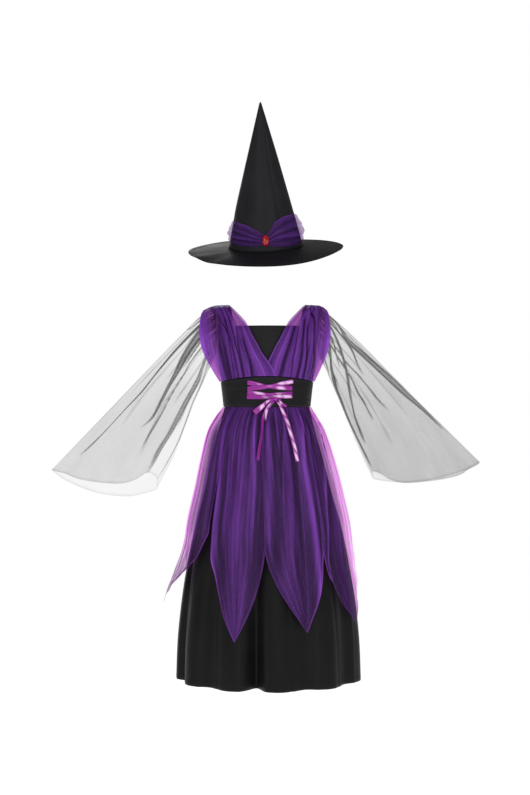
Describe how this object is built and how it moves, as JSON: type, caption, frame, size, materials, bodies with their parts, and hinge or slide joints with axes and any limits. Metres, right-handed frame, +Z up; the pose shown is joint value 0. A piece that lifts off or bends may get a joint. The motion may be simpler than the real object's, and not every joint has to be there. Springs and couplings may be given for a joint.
{
  "type": "child's witch costume, a dress and a pointed hat filled out with no wearer",
  "caption": "Witch costume: pointed hat with organza band and gem, and a dress with crossed organza bodice, net bell sleeves, laced belt and a skirt of pointed organza panels.",
  "frame": {"origin": "middle of the wearer's shoulder line, between the tops of the two shoulder straps", "axes": "+Z up towards the hat, -Y out of the front of the dress, +X towards the wearer's left"},
  "size_m": [0.9431, 0.3274, 1.2444],
  "materials": {
    "black_satin": "soft satin",
    "belt_satin": "matt satin",
    "skirt_organza": "sheer organza with a sheen",
    "bodice_organza": "sheer organza with a sheen",
    "black_net": "fine net",
    "ribbon_satin": "glossy satin ribbon",
    "hat_satin": "soft satin over stiffening",
    "hat_organza": "sheer organza",
    "red_gem": "polished"
  },
  "bodies": {
    "root": {"bodice_front": "black_satin", "bodice_back": "black_satin", "belt_front": "belt_satin", "belt_back": "belt_satin", "underskirt_front": "black_satin", "underskirt_back": "black_satin", "overskirt_front_left": "skirt_organza", "overskirt_front_right": "skirt_organza", "overskirt_side_right": "skirt_organza", "overskirt_back_right": "skirt_organza", "overskirt_rear_right": "skirt_organza", "overskirt_rear_left": "skirt_organza", "overskirt_back_left": "skirt_organza", "overskirt_side_left": "skirt_organza", "drape_front_left": "bodice_organza", "drape_front_right": "bodice_organza", "drape_back_left": "bodice_organza", "drape_back_right": "bodice_organza", "sleeve_left": "black_net", "sleeve_right": "black_net", "lace_upper_under": "ribbon_satin", "lace_upper_over": "ribbon_satin", "lace_lower_under": "ribbon_satin", "lace_lower_over": "ribbon_satin", "bow_knot": "ribbon_satin", "bow_end_left": "ribbon_satin", "bow_loop_left": "ribbon_satin", "bow_loop_right": "ribbon_satin", "tail_left": "ribbon_satin", "tail_right": "ribbon_satin", "hat_crown": "hat_satin", "hat_brim": "hat_satin", "hat_band_left": "hat_organza", "hat_band_right": "hat_organza", "hat_gem": "red_gem"}
  },
  "joints": []
}
